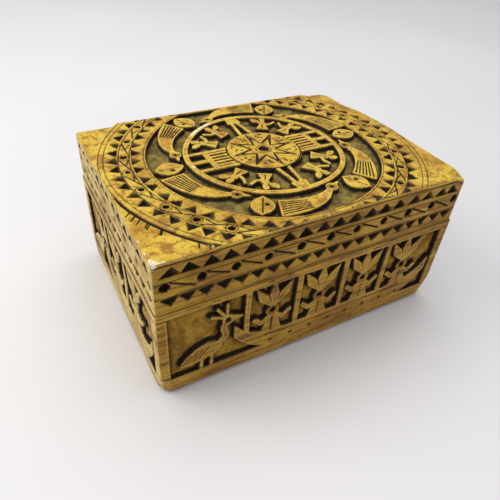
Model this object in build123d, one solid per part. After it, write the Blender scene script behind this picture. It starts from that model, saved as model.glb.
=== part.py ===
"""Carved wooden puzzle box with a lift-off lid and a hidden two-bolt lock.

Millimetres, +Z up, the front faces -Y, and the origin is the middle of the underside.
Base: four mitred walls round a bottom board. Four lining boards stand inside them, and rise above
the seam to locate the lid. Lid: four mitred rails under a top board. Lock: the sun medallion in
the top board turns a spindle and, under the board, a scroll cam. The cam's two spiral slots push
two bolts out through their guides into mortises in the end linings. The box is shown closed, with
the bolts drawn back.
"""

from build123d import *

import math
import os

# ---------------------------------------------------------------- driving dimensions
LENGTH = 130.0  # base, along X
DEPTH = 94.0  # base, along Y
BASE_HEIGHT = 42.5  # from the underside to the seam
RAIL_HEIGHT = 14.0  # lid rails, from the seam up
TOP_BOARD = 7.5  # lid top board

WALL = 7.0  # base walls
BOTTOM_BOARD = 5.0
RABBET = 2.5  # how far the bottom board reaches into the walls
FOOT_BEVEL = 2.5  # bevel round the foot of the base
CORNER_ROUND = 1.2  # rounded upright corners
LID_INSET = 0.4  # the lid is this much smaller than the base on every side
LID_EASE = 0.8  # eased top edge of the lid

LINING = 3.5
LINING_EASE = 0.8  # eased upper inner edge of the lining
LIP_GAP = 1.3  # between the lining's upper edge and the lid's top board
LID_CLEARANCE = 0.4  # between the lining and the lid rails

# Medallion and spindle
DIAL_Y = 2.0  # the medallion's axis lies this far behind the middle
MEDALLION_RADIUS = 15.0
MEDALLION_PROUD = 0.3  # above the top board
MEDALLION_EASE = 0.4
POCKET_DEPTH = 3.2  # the medallion's pocket in the top board
POCKET_CLEARANCE = 0.3
FLOAT_GAP = 0.1  # under the medallion
SPINDLE_RADIUS = 3.5
SPINDLE_CLEARANCE = 0.1  # round the spindle in the top board
TENON_RADIUS = 1.8
TENON_SUNK = 1.2  # from the medallion's face down to the end of the spindle's tenon

# Bolts and their followers
BOLT_WIDTH = 10.0
BOLT_THICKNESS = 4.6
BOLT_TIP_EASE = 0.6
BOLT_BACK = 0.8  # tip to lining, when drawn back
BOLT_STOP = 0.3  # tip to lid rail, when thrown
BOLT_PLAY = 0.2  # round the bolt in its guide
MORTISE_PLAY = 0.4  # round the bolt in its mortise
FOLLOWER_RADIUS = 1.5
FOLLOWER_SETBACK = 4.0  # from the bolt's inner end
FOLLOWER_SEAT = 3.6  # depth of the follower pin's seat in the bolt

# Scroll cam
TURN = 90.0  # degrees of medallion turn that throw the bolts
CAM_THICKNESS = 3.1
CAM_GAP = 0.3  # above and below the cam plate, and above the followers
CAM_RIM = 2.5  # plate left outside the slots
SLOT_PLAY = 0.2  # round the follower
SLOT_OVERRUN = 4.0  # degrees of slot past each end of the turn
HUB_RADIUS = 7.0
HUB_LENGTH = 4.2  # below the cam plate
HUB_GAP = 1.0  # between the hub and the drawn bolts
SPINDLE_TAIL = 0.5  # spindle below the hub
CROSS_PIN_RADIUS = 1.0

# Guides and their screws
GUIDE_WIDTH = 22.0
GUIDE_STRAP = 2.8  # wood under the bolt
GUIDE_CAM_GAP = 5.0
GUIDE_LINING_GAP = 5.0
SCREW_RADIUS = 1.0
SCREW_HEAD_RADIUS = 2.0
SCREW_BITE = 4.5  # into the top board
SCREW_DRIVE_WIDTH = 0.5
SCREW_DRIVE_DEPTH = 0.4
SCREW_CLEARANCE = 0.05
PILOT_OVERRUN = 0.3  # pilot hole past the screw's end

# ---------------------------------------------------------------- places worked out from them
BOARD_UNDER = BASE_HEIGHT + RAIL_HEIGHT
BOARD_TOP = BOARD_UNDER + TOP_BOARD
LID_LENGTH = LENGTH - 2 * LID_INSET
LID_DEPTH = DEPTH - 2 * LID_INSET
RAIL = WALL - LID_INSET - LID_CLEARANCE
INNER_X = LENGTH / 2 - WALL  # inner face of the end walls
INNER_Y = DEPTH / 2 - WALL  # inner face of the front and back walls
LINING_X = INNER_X - LINING  # inner face of the end linings
LINING_Y = INNER_Y - LINING  # inner face of the front and back linings
LINING_TOP = BOARD_UNDER - LIP_GAP

POCKET_FLOOR = BOARD_TOP - POCKET_DEPTH
MEDALLION_UNDER = POCKET_FLOOR + FLOAT_GAP
MEDALLION_TOP = BOARD_TOP + MEDALLION_PROUD

CAM_TOP = BOARD_UNDER - CAM_GAP
CAM_UNDER = CAM_TOP - CAM_THICKNESS
HUB_UNDER = CAM_UNDER - HUB_LENGTH
BOLT_TOP = CAM_UNDER - CAM_GAP
BOLT_UNDER = BOLT_TOP - BOLT_THICKNESS
GUIDE_UNDER = BOLT_UNDER - BOLT_PLAY - GUIDE_STRAP

BOLT_INNER = HUB_RADIUS + HUB_GAP
BOLT_TIP = LINING_X - BOLT_BACK
TRAVEL = LID_LENGTH / 2 - RAIL - BOLT_STOP - BOLT_TIP
FOLLOWER_AT = BOLT_INNER + FOLLOWER_SETBACK
SLOT_HALF = FOLLOWER_RADIUS + SLOT_PLAY
CAM_RADIUS = FOLLOWER_AT + TRAVEL + SLOT_HALF + CAM_RIM
GUIDE_INNER = CAM_RADIUS + GUIDE_CAM_GAP
GUIDE_OUTER = LINING_X - GUIDE_LINING_GAP
SCREW_X = (GUIDE_INNER + GUIDE_OUTER) / 2
SCREW_Y = (BOLT_WIDTH / 2 + BOLT_PLAY + GUIDE_WIDTH / 2) / 2  # middle of the wood beside the bolt


# ---------------------------------------------------------------- helpers
def block(x0, x1, y0, y1, z0, z1):
    """A box between two corners, given in either order."""
    centre = ((x0 + x1) / 2, (y0 + y1) / 2, (z0 + z1) / 2)
    return Pos(*centre) * Box(abs(x1 - x0), abs(y1 - y0), abs(z1 - z0))


def rod(radius, z0, z1, x=0.0, y=0.0):
    """An upright cylinder."""
    return Pos(x, y, (z0 + z1) / 2) * Cylinder(radius, z1 - z0)


def rounded_block(length, depth, z0, z1):
    """A block round the Z axis with the box's rounded upright corners."""
    return Pos(0, 0, z0) * extrude(RectangleRounded(length, depth, CORNER_ROUND), amount=z1 - z0)


def mitred_bar(span, thickness, section):
    """A bar along X with 45 degree mitred ends. section lists (distance in from the face, z)."""
    low = min(z for _, z in section)
    high = max(z for _, z in section)
    outline = make_face(Polyline(*[(0, y, z) for y, z in section], close=True))
    bar = extrude(outline, amount=span / 2, dir=(1, 0, 0), both=True)
    plan = [
        (-span / 2, 0, low),
        (span / 2, 0, low),
        (span / 2 - thickness, thickness, low),
        (thickness - span / 2, thickness, low),
    ]
    return bar & extrude(make_face(Polyline(*plan, close=True)), amount=high - low, dir=(0, 0, 1))


def mitred_frame(length, depth, thickness, section):
    """The four bars of a frame round the Z axis, by side, with rounded upright corners."""
    low = min(z for _, z in section)
    high = max(z for _, z in section)
    outline = rounded_block(length, depth, low, high)
    sides = (
        ("front", 0, length, depth / 2),
        ("right", 90, depth, length / 2),
        ("back", 180, length, depth / 2),
        ("left", 270, depth, length / 2),
    )
    return {
        side: Rot(0, 0, turn) * Pos(0, -reach, 0) * mitred_bar(span, thickness, section) & outline
        for side, turn, span, reach in sides
    }


# ---------------------------------------------------------------- base
def base_walls():
    """Walls with a bevelled foot outside, and a rabbet inside for the bottom board."""
    section = [
        (FOOT_BEVEL, 0),
        (WALL - RABBET, 0),
        (WALL - RABBET, BOTTOM_BOARD),
        (WALL, BOTTOM_BOARD),
        (WALL, BASE_HEIGHT),
        (0, BASE_HEIGHT),
        (0, FOOT_BEVEL),
    ]
    return mitred_frame(LENGTH, DEPTH, WALL, section)


def base_bottom_board():
    half_length = INNER_X + RABBET
    half_depth = INNER_Y + RABBET
    return block(-half_length, half_length, -half_depth, half_depth, 0, BOTTOM_BOARD)


def long_lining(side):
    """Front (side -1) or back (side 1) lining, over the whole inner length."""
    board = block(-INNER_X, INNER_X, side * LINING_Y, side * INNER_Y, BOTTOM_BOARD, LINING_TOP)
    top_edges = board.edges().filter_by(Axis.X).group_by(Axis.Z)[-1]
    inner_edge = top_edges.sort_by(Axis.Y)[0 if side > 0 else -1]
    return chamfer(inner_edge, LINING_EASE)


def end_lining(side):
    """Left (side -1) or right (side 1) lining, between the long ones, with the bolt's mortise."""
    board = block(side * LINING_X, side * INNER_X, -LINING_Y, LINING_Y, BOTTOM_BOARD, LINING_TOP)
    top_edges = board.edges().filter_by(Axis.Y).group_by(Axis.Z)[-1]
    inner_edge = top_edges.sort_by(Axis.X)[0 if side > 0 else -1]
    half = BOLT_WIDTH / 2 + MORTISE_PLAY
    mortise = block(
        side * (LINING_X - LINING),
        side * (INNER_X + LINING),
        DIAL_Y - half,
        DIAL_Y + half,
        BOLT_UNDER - MORTISE_PLAY,
        BOLT_TOP + MORTISE_PLAY,
    )
    return chamfer(inner_edge, LINING_EASE) - mortise


# ---------------------------------------------------------------- lid
def lid_rails():
    """Rails thinner than the walls, so that they pass over the lining."""
    section = [(0, BASE_HEIGHT), (RAIL, BASE_HEIGHT), (RAIL, BOARD_UNDER), (0, BOARD_UNDER)]
    return mitred_frame(LID_LENGTH, LID_DEPTH, RAIL, section)


def lid_top_board():
    """Board with an eased upper edge, the medallion's pocket and bore, and screw pilots."""
    board = rounded_block(LID_LENGTH, LID_DEPTH, BOARD_UNDER, BOARD_TOP)
    board = chamfer(board.faces().sort_by(Axis.Z)[-1].edges(), LID_EASE)
    board -= rod(MEDALLION_RADIUS + POCKET_CLEARANCE, POCKET_FLOOR, BOARD_TOP + 1, 0, DIAL_Y)
    board -= rod(SPINDLE_RADIUS + SPINDLE_CLEARANCE, BOARD_UNDER - 1, BOARD_TOP, 0, DIAL_Y)
    pilot_end = BOARD_UNDER + SCREW_BITE + PILOT_OVERRUN
    for side in (-1, 1):
        for x, y in screw_places(side):
            board -= rod(SCREW_RADIUS + SCREW_CLEARANCE, BOARD_UNDER - 1, pilot_end, x, y)
    return board


def screw_places(side):
    """One screw on each side of the bolt, in the left (side -1) or right (side 1) guide."""
    return [(side * SCREW_X, DIAL_Y - SCREW_Y), (side * SCREW_X, DIAL_Y + SCREW_Y)]


def countersunk_screw(x, y, grow=0.0):
    """A wood screw with its head downwards, flush with the guide's underside."""
    head = SCREW_HEAD_RADIUS - SCREW_RADIUS
    shank = rod(SCREW_RADIUS + grow, GUIDE_UNDER + head / 2, BOARD_UNDER + SCREW_BITE, x, y)
    cone = Cone(SCREW_HEAD_RADIUS + grow, SCREW_RADIUS + grow, head)
    return shank + Pos(x, y, GUIDE_UNDER + head / 2) * cone


def bolt_guide(side):
    """Block under the top board, with a tunnel for the bolt and two countersunk holes."""
    guide = block(
        side * GUIDE_INNER,
        side * GUIDE_OUTER,
        DIAL_Y - GUIDE_WIDTH / 2,
        DIAL_Y + GUIDE_WIDTH / 2,
        GUIDE_UNDER,
        BOARD_UNDER,
    )
    half = BOLT_WIDTH / 2 + BOLT_PLAY
    guide -= block(
        side * (GUIDE_INNER - 1),
        side * (GUIDE_OUTER + 1),
        DIAL_Y - half,
        DIAL_Y + half,
        BOLT_UNDER - BOLT_PLAY,
        BOLT_TOP + BOLT_PLAY,
    )
    for x, y in screw_places(side):
        guide -= countersunk_screw(x, y, grow=SCREW_CLEARANCE)
    return guide


def guide_screws():
    """The four slotted screws, as a group of separate solids."""
    screws = []
    for side in (-1, 1):
        for x, y in screw_places(side):
            drive = block(
                x - SCREW_HEAD_RADIUS,
                x + SCREW_HEAD_RADIUS,
                y - SCREW_DRIVE_WIDTH / 2,
                y + SCREW_DRIVE_WIDTH / 2,
                GUIDE_UNDER - 1,
                GUIDE_UNDER + SCREW_DRIVE_DEPTH,
            )
            screws.append(countersunk_screw(x, y) - drive)
    return Compound(children=screws)


# ---------------------------------------------------------------- medallion, spindle and cam
def sun_medallion():
    """Thick disc with an eased face edge and a hole for the spindle's tenon."""
    disc = rod(MEDALLION_RADIUS, MEDALLION_UNDER, MEDALLION_TOP, 0, DIAL_Y)
    rim = disc.edges().filter_by(GeomType.CIRCLE).group_by(Axis.Z)[-1]
    return chamfer(rim, MEDALLION_EASE) - rod(
        TENON_RADIUS, MEDALLION_UNDER - 1, MEDALLION_TOP + 1, 0, DIAL_Y
    )


def dial_spindle():
    """Dowel with a tenon up into the medallion, and a cross hole for the cam's pin."""
    spindle = rod(SPINDLE_RADIUS, HUB_UNDER - SPINDLE_TAIL, MEDALLION_UNDER, 0, DIAL_Y)
    spindle += rod(TENON_RADIUS, MEDALLION_UNDER, MEDALLION_TOP - TENON_SUNK, 0, DIAL_Y)
    return spindle - cam_cross_pin()


def cam_cross_pin():
    """Pin along Y, through the hub and the spindle."""
    pin = Rot(90, 0, 0) * Cylinder(CROSS_PIN_RADIUS, 2 * HUB_RADIUS)
    return Pos(0, DIAL_Y, HUB_UNDER + HUB_LENGTH / 2) * pin


def spiral_point(degrees):
    """Where the slot's middle line crosses the follower's path, after that much turn."""
    radius = FOLLOWER_AT + TRAVEL * degrees / TURN
    angle = math.radians(-degrees)
    return Vector(radius * math.cos(angle), radius * math.sin(angle))


def slot_outline(offset, steps=12):
    """A line beside the slot's middle line, at the given distance."""
    points = []
    for i in range(steps + 1):
        degrees = -SLOT_OVERRUN + (TURN + 2 * SLOT_OVERRUN) * i / steps
        along = (spiral_point(degrees + 0.01) - spiral_point(degrees - 0.01)).normalized()
        points.append(spiral_point(degrees) + Vector(-along.Y, along.X) * offset)
    return Spline(*points)


def spiral_slot():
    """The right-hand bolt's slot in the cam, with rounded ends, as a cutter."""
    left = slot_outline(SLOT_HALF)
    right = slot_outline(-SLOT_HALF)
    ribbon = make_face([left, right, Line(left @ 0, right @ 0), Line(left @ 1, right @ 1)])
    height = CAM_THICKNESS + 2
    slot = extrude(ribbon, amount=height, dir=(0, 0, 1))
    for degrees in (-SLOT_OVERRUN, TURN + SLOT_OVERRUN):
        end = spiral_point(degrees)
        slot += rod(SLOT_HALF, 0, height, end.X, end.Y)
    return Pos(0, DIAL_Y, CAM_UNDER - 1) * slot


def scroll_cam():
    """Plate with two spiral slots, and a hub below it for the cross pin."""
    cam = rod(CAM_RADIUS, CAM_UNDER, CAM_TOP, 0, DIAL_Y)
    cam += rod(HUB_RADIUS, HUB_UNDER, CAM_UNDER, 0, DIAL_Y)
    cam -= rod(SPINDLE_RADIUS, HUB_UNDER - 1, CAM_TOP + 1, 0, DIAL_Y)
    slot = spiral_slot()
    half_turn = Pos(0, DIAL_Y, 0) * Rot(0, 0, 180) * Pos(0, -DIAL_Y, 0)
    return cam - cam_cross_pin() - slot - half_turn * slot


# ---------------------------------------------------------------- bolts
def bolt(side):
    """Left (side -1) or right (side 1) bolt, with an eased tip and a seat for its follower."""
    half = BOLT_WIDTH / 2
    bar = block(
        side * BOLT_INNER, side * BOLT_TIP, DIAL_Y - half, DIAL_Y + half, BOLT_UNDER, BOLT_TOP
    )
    tip = bar.faces().sort_by(Axis.X)[-1 if side > 0 else 0]
    return chamfer(tip.edges(), BOLT_TIP_EASE) - follower_pin(side)


def follower_pin(side):
    """Pin that stands in the bolt and reaches up into the cam's slot."""
    return rod(
        FOLLOWER_RADIUS, BOLT_TOP - FOLLOWER_SEAT, CAM_TOP - CAM_GAP, side * FOLLOWER_AT, DIAL_Y
    )


def main():
    nodes = {f"base_{side}_wall": wall for side, wall in base_walls().items()}
    nodes["base_bottom_board"] = base_bottom_board()
    nodes["lining_front"] = long_lining(-1)
    nodes["lining_back"] = long_lining(1)
    nodes["lining_left"] = end_lining(-1)
    nodes["lining_right"] = end_lining(1)
    nodes.update({f"lid_{side}_rail": rail for side, rail in lid_rails().items()})
    nodes["lid_top_board"] = lid_top_board()
    nodes["left_bolt_guide"] = bolt_guide(-1)
    nodes["right_bolt_guide"] = bolt_guide(1)
    nodes["guide_screws"] = guide_screws()
    nodes["sun_medallion"] = sun_medallion()
    nodes["dial_spindle"] = dial_spindle()
    nodes["scroll_cam"] = scroll_cam()
    nodes["cam_cross_pin"] = cam_cross_pin()
    nodes["left_bolt"] = bolt(-1)
    nodes["right_bolt"] = bolt(1)
    nodes["left_follower_pin"] = follower_pin(-1)
    nodes["right_follower_pin"] = follower_pin(1)
    os.makedirs("parts", exist_ok=True)
    for name, shape in nodes.items():
        export_step(shape, f"parts/{name}.step")
    print(f"{len(nodes)} nodes, bolt travel {TRAVEL:.2f} mm over {TURN:.0f} degrees")


main()
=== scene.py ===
"""Looks of the carved puzzle box: every outer piece is a closed mesh with its relief carved in.

Reliefs are drawn in millimetres on a grid, as distances to simple shapes, and cut to depth. The
same grids give each point its colour values: how deep it lies, how dark with stain and painted shade, and how
worn or painted light.
"""

import math

import bpy
import numpy as np
from mathutils import Matrix, Vector


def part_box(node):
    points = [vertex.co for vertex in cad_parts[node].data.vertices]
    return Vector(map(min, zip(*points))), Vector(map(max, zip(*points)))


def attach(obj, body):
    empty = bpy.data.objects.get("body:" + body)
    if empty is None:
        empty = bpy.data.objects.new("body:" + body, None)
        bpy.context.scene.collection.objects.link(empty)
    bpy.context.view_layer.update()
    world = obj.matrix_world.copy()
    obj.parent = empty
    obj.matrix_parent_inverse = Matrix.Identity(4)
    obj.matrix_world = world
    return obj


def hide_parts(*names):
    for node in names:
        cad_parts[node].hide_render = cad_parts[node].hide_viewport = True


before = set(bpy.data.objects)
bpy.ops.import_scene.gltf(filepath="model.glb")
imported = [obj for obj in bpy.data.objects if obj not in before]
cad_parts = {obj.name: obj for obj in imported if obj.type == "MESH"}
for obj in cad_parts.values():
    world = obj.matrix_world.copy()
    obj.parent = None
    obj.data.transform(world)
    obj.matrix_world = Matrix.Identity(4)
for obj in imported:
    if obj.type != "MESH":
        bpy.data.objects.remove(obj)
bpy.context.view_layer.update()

MM = 0.001
STEP = 0.34  # grid spacing of a carved side
TOP_STEP = 0.29  # grid spacing of the top
FAR = 99.0
GROWN = 0.12  # how far the slope of a cut starts outside its outline


def box_mm(node):
    """Lowest and highest corner of a CAD node, in millimetres."""
    low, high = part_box(node)
    return np.array(low) / MM, np.array(high) / MM


# ---------------------------------------------------------------- shapes, as distances in mm
class Shape:
    """A flat shape: the box it lies in, and the distance to its outline, negative inside."""

    def __init__(self, points, distance, spare=0.0):
        points = np.array(points, float)
        self.low = points.min(0) - spare
        self.high = points.max(0) + spare
        self.distance = distance


def polygon(points):
    corners = np.array(points, float)
    nexts = np.roll(corners, -1, axis=0)

    def distance(u, v):
        nearest = np.full(u.shape, np.inf)
        inside = np.zeros(u.shape, bool)
        for (x0, y0), (x1, y1) in zip(corners, nexts):
            ex, ey = x1 - x0, y1 - y0
            wx, wy = u - x0, v - y0
            along = np.clip((wx * ex + wy * ey) / (ex * ex + ey * ey + 1e-12), 0, 1)
            nearest = np.minimum(nearest, (wx - along * ex) ** 2 + (wy - along * ey) ** 2)
            spans = (y0 <= v) != (y1 <= v)
            inside ^= spans & (wx < wy * ex / (ey or 1.0))
        return np.where(inside, -1, 1) * np.sqrt(nearest)

    return Shape(corners, distance)


def stroke(points, width):
    """A line of the given width."""
    path = np.array(points, float)

    def distance(u, v):
        nearest = np.full(u.shape, np.inf)
        for (x0, y0), (x1, y1) in zip(path[:-1], path[1:]):
            ex, ey = x1 - x0, y1 - y0
            wx, wy = u - x0, v - y0
            along = np.clip((wx * ex + wy * ey) / (ex * ex + ey * ey + 1e-12), 0, 1)
            nearest = np.minimum(nearest, np.hypot(wx - along * ex, wy - along * ey) - width / 2)
        return nearest

    return Shape(path, distance, width / 2)


def disc(x, y, radius):
    return Shape([(x, y)], lambda u, v: np.hypot(u - x, v - y) - radius, radius)


def smooth(points, closed=True, rounds=2):
    """Corner cutting: a rounder outline through the same shape."""
    path = np.array(points, float)
    for _ in range(rounds):
        starts, nexts = (path, np.roll(path, -1, axis=0)) if closed else (path[:-1], path[1:])
        cut = np.stack([starts * 0.75 + nexts * 0.25, starts * 0.25 + nexts * 0.75], axis=1).reshape(-1, 2)
        path = cut if closed else np.vstack([path[:1], cut, path[-1:]])
    return path


def placed(points, x, y, degrees, flip):
    """Points mirrored if asked, turned about their own origin, and put at (x, y)."""
    path = np.array(points, float) * (-1 if flip else 1, 1)
    c, s = math.cos(math.radians(degrees)), math.sin(math.radians(degrees))
    return path @ np.array([[c, s], [-s, c]]) + (x, y)


def polar(radius, degrees, centre=(0.0, 0.0)):
    angle = math.radians(degrees)
    return (centre[0] + radius * math.cos(angle), centre[1] + radius * math.sin(angle))


# ---------------------------------------------------------------- relief
def ramp(x):
    """0 to 1, smoothly."""
    x = np.clip(x, 0, 1)
    return x * x * (3 - 2 * x)


def cloud(u, v, size, seed):
    """Smooth random values from -1 to 1, with lumps of about that size in mm."""
    dice = np.random.default_rng(seed)
    cells = dice.uniform(-1, 1, (64, 64))
    x, y = u / size + 17.3, v / size + 11.7
    x0, y0 = np.floor(x).astype(int), np.floor(y).astype(int)
    fx, fy = ramp(x - x0), ramp(y - y0)
    a, b = cells[y0 % 64, x0 % 64], cells[y0 % 64, (x0 + 1) % 64]
    c, d = cells[(y0 + 1) % 64, x0 % 64], cells[(y0 + 1) % 64, (x0 + 1) % 64]
    return (a * (1 - fx) + b * fx) * (1 - fy) + (c * (1 - fx) + d * fx) * fy


class Relief:
    """A carved face: points (u, v) in mm, how deep the wood is cut, and how dark the stain and painted shade
    lie.
    """

    def __init__(self, u, v, rows_and_columns=None):
        self.u, self.v = u, v
        self.rows_and_columns = rows_and_columns
        self.field = np.full(u.shape, FAR)  # distance to the sunk field, negative inside
        self.raised = np.full(u.shape, FAR)  # distance to what stands in the field
        self.cut = np.zeros(u.shape)  # depth of chips, lines and drilled pits
        self.dark = np.zeros(u.shape)  # stain held by those cuts; also painted shade on one side of each sunk triangle and painted shadow in the gap round the medallion
        self.bare_and_glint = np.zeros(u.shape)  # wood worn bare of its stain, and painted highlights on the raised band

    @classmethod
    def on_grid(cls, us, vs):
        u, v = np.meshgrid(us, vs)
        return cls(u, v, (vs, us))

    def window(self, shape, margin):
        """The part of the grid round a shape."""
        if self.rows_and_columns is None:
            return (slice(None), slice(None))
        vs, us = self.rows_and_columns
        u0, u1 = np.searchsorted(us, (shape.low[0] - margin, shape.high[0] + margin))
        v0, v1 = np.searchsorted(vs, (shape.low[1] - margin, shape.high[1] + margin))
        return (slice(v0, v1), slice(u0, u1))

    def lower(self, values, shape, margin=4.0):
        at = self.window(shape, margin)
        values[at] = np.minimum(values[at], shape.distance(self.u[at], self.v[at]))

    def sink(self, *shapes):
        """Take down the ground inside these shapes."""
        for shape in shapes:
            self.lower(self.field, shape)

    def stand(self, *shapes):
        """Leave these shapes standing in the sunk ground."""
        for shape in shapes:
            self.lower(self.raised, shape)

    def deepen(self, at, depth, amount, darkening):
        self.cut[at] = np.maximum(self.cut[at], depth * amount)
        self.dark[at] = np.maximum(self.dark[at], darkening)

    def chip(self, shape, depth, wall=0.6, deep_shaded_point=None):
        """Cut a shape down, deepest on the side of the point given, and painted darkest there as painted
        shade.
        """
        at = self.window(shape, 0.8)
        u, v = self.u[at], self.v[at]
        amount = ramp((GROWN - shape.distance(u, v)) / wall)
        darkening = ramp(amount * 4)
        if deep_shaded_point is not None:
            away = np.hypot(u - deep_shaded_point[0], v - deep_shaded_point[1])
            amount = amount * np.clip(1.15 - 0.13 * away, 0.4, 1)
            # painted shade: the dark fades away from the given point, so one side of the cut looks shaded
            darkening = darkening * np.clip(1.3 - 0.17 * away, 0.42, 1)
        self.deepen(at, depth, amount, darkening)

    def line(self, points, width=0.6, depth=0.5, darkening=1.0):
        """Incise a V-shaped line, and fill it with that much of the dark stain."""
        shape = stroke(points, 0.0)
        at = self.window(shape, width)
        amount = np.clip(1.15 - 2 * shape.distance(self.u[at], self.v[at]) / width, 0, 1)
        self.deepen(at, depth, amount, darkening * ramp(amount * 1.6))

    def ring(self, x, y, radius, width=0.55, depth=0.5):
        """Incise a circle."""
        at = self.window(disc(x, y, radius + width), 0.2)
        away = np.abs(np.hypot(self.u[at] - x, self.v[at] - y) - radius)
        amount = np.clip(1.15 - 2 * away / width, 0, 1)
        self.deepen(at, depth, amount, 0.8 * amount)

    def round_line(self, r, radius, width, depth):
        """Incise a line where the distance r has a value. depth may change along it."""
        amount = np.clip(1.15 - 2 * np.abs(r - radius) / width, 0, 1)
        self.deepen((slice(None), slice(None)), depth, amount, 0.85 * amount)

    def pit(self, x, y, radius, depth):
        """Drill a round pit with a steep wall."""
        self.chip(disc(x, y, radius), depth)

    def wear_and_glint(self, x, y, radius, seed):
        """Make a ragged pale patch, for wood worn bare of its stain and for painted highlights."""
        at = self.window(disc(x, y, radius * 1.6), 0.2)
        u, v = self.u[at], self.v[at]
        ragged = radius * (1 + 0.45 * cloud(u, v, 0.45 * radius + 0.3, seed))
        amount = ramp((ragged - np.hypot(u - x, v - y)) / 0.5)
        self.bare_and_glint[at] = np.maximum(self.bare_and_glint[at], amount)

    def finish(self, ground, wall, bulge, reach, seed):
        """Depth in mm, and the wash from -1 (lighter rim, partly wear and partly painted highlight) to 1
        (full of dark stain; in the sunk triangles partly painted shade).
        """
        into = np.minimum(-self.field, self.raised)
        uneven = 0.09 * cloud(self.u, self.v, 2.1, seed) + 0.08 * cloud(self.u, self.v, 0.8, seed + 1)
        floor = ground * (1 + uneven) * (1 - bulge * ramp((into - 0.8) / 2.2))
        depth = np.maximum(floor * ramp(into / wall), self.cut)
        depth += 0.05 * (1 + cloud(self.u, self.v, 9.0, seed + 2))
        depth += 0.018 * (1 + cloud(self.u, self.v, 0.9, seed + 3))
        trench = np.exp(-np.maximum(into - 0.2, 0) / reach) * ramp((into + 0.15) / 0.4)
        # lighter rim on the raised side of each cut: partly wear, partly painted highlight
        worn = -ramp((into + 0.9) / 0.6) * ramp(-into / 0.25) * (self.field < FAR / 2)
        stain_and_shading = np.where(self.dark > 0.02, np.maximum(self.dark, trench), trench + worn)
        return depth, stain_and_shading


# ---------------------------------------------------------------- closed meshes from patches
class Solid:
    """A closed mesh put together from patches that meet along their edges."""

    def __init__(self):
        self.points = []
        self.values = []
        self.faces = []
        self.slots = []
        self.count = 0

    def patch(self, points, faces, values=None, slot=0):
        """Add points (n, 3), faces of point numbers, and (n, 4) stain values."""
        points = np.asarray(points, float).reshape(-1, 3)
        if values is None:
            values = np.zeros((len(points), 4))
        self.points.append(points)
        self.values.append(np.asarray(values, float).reshape(-1, 4))
        self.faces += [[i + self.count for i in face] for face in faces]
        self.slots += [slot] * len(faces)
        self.count += len(points)

    def sheet(self, points, values, slot=0):
        """Add a grid of points (rows, columns, 3), seen with rows going up and columns right."""
        rows, columns = points.shape[:2]
        ids = np.arange(rows * columns).reshape(rows, columns)
        quads = np.stack([ids[:-1, :-1], ids[:-1, 1:], ids[1:, 1:], ids[1:, :-1]], -1)
        self.patch(points, quads.reshape(-1, 4).tolist(), values, slot)

    def fan(self, points, slot=0, value=(0, 0, 1, 0)):
        """Add one flat face through these points."""
        values = np.tile(value, (len(points), 1))
        self.patch(points, [list(range(len(points)))], values, slot)

    def build(self, name, materials, soften=None):
        """Weld the patches and make the object."""
        points = np.concatenate(self.points)
        values = np.concatenate(self.values)
        keys = np.round(points / 0.002).astype(np.int64)
        _, first, weld = np.unique(keys, axis=0, return_index=True, return_inverse=True)
        weld = weld.reshape(-1)
        welded = points[first]
        if soften is not None:
            welded = soften(welded)
        faces = [weld[face].tolist() for face in map(np.array, self.faces)]
        mesh = bpy.data.meshes.new(name)
        mesh.from_pydata((welded * MM).tolist(), [], faces)
        for i, label in enumerate(("depth", "stain_and_shading", "side", "bare_and_glint")):
            layer = mesh.attributes.new(label, "FLOAT", "POINT")
            layer.data.foreach_set("value", values[first, i].astype(np.float32))
        for material in materials:
            mesh.materials.append(material)
        mesh.polygons.foreach_set("material_index", self.slots)
        smooth_faces = [len(face) == 4 for face in faces]
        mesh.polygons.foreach_set("use_smooth", smooth_faces)
        mesh.update()
        piece = bpy.data.objects.new(name, mesh)
        bpy.context.scene.collection.objects.link(piece)
        return piece


def spaced(low, high, step=STEP):
    """Even grid lines with a few closer ones at both ends, for the worn edges."""
    ends = np.array([0.0, 0.1, 0.22, 0.38, 0.58, 0.82])
    count = int(round((high - low - 2.2) / step))
    middle = np.linspace(low + 1.1, high - 1.1, count + 1)
    return np.concatenate([low + ends, middle, (high - ends)[::-1]])


def rounded_plan(points, half_x, half_y, radius, worn=None):
    """Bend square upright corners to round ones. worn gives one corner its own radius."""
    points = points.copy()
    radius = np.broadcast_to(radius, len(points))
    for sx in (-1, 1):
        for sy in (-1, 1):
            r = np.full(len(points), worn[1]) if worn and worn[0] == (sx, sy) else radius
            dx = sx * points[:, 0] - (half_x - r)
            dy = sy * points[:, 1] - (half_y - r)
            at = (dx > 0) & (dy > 0)
            scale = np.maximum(dx[at], dy[at]) / np.hypot(dx[at], dy[at])
            points[at, 0] = sx * (half_x - r[at] + dx[at] * scale)
            points[at, 1] = sy * (half_y - r[at] + dy[at] * scale)
    return points


def rounded_edge(points, half_x, half_y, level, radius, up=1):
    """Bend the square edge between the sides and a level face (up 1 for a top, -1 for a foot)."""
    points = points.copy()
    out = np.maximum(np.abs(points[:, 0]) - half_x, np.abs(points[:, 1]) - half_y) + radius
    high = up * (points[:, 2] - level) + radius
    at = (out > 0) & (high > 0)
    scale = np.maximum(out[at], high[at]) / np.hypot(out[at], high[at])
    shift = out[at] * (scale - 1)
    over_x = np.abs(points[at, 0]) - half_x
    over_y = np.abs(points[at, 1]) - half_y
    on_x = over_x >= over_y - 1e-6
    on_y = over_y >= over_x - 1e-6
    points[at, 0] += np.where(on_x, np.sign(points[at, 0]) * shift, 0)
    points[at, 1] += np.where(on_y, np.sign(points[at, 1]) * shift, 0)
    points[at, 2] = level + up * (high[at] * scale - radius)
    return points


SIDES = {"front": 0, "right": 90, "back": 180, "left": 270}


def turned(points, degrees):
    """Points turned about the upright axis by quarter turns."""
    c, s = round(math.cos(math.radians(degrees))), round(math.sin(math.radians(degrees)))
    return points @ np.array([[c, s, 0], [-s, c, 0], [0, 0, 1]])


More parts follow.
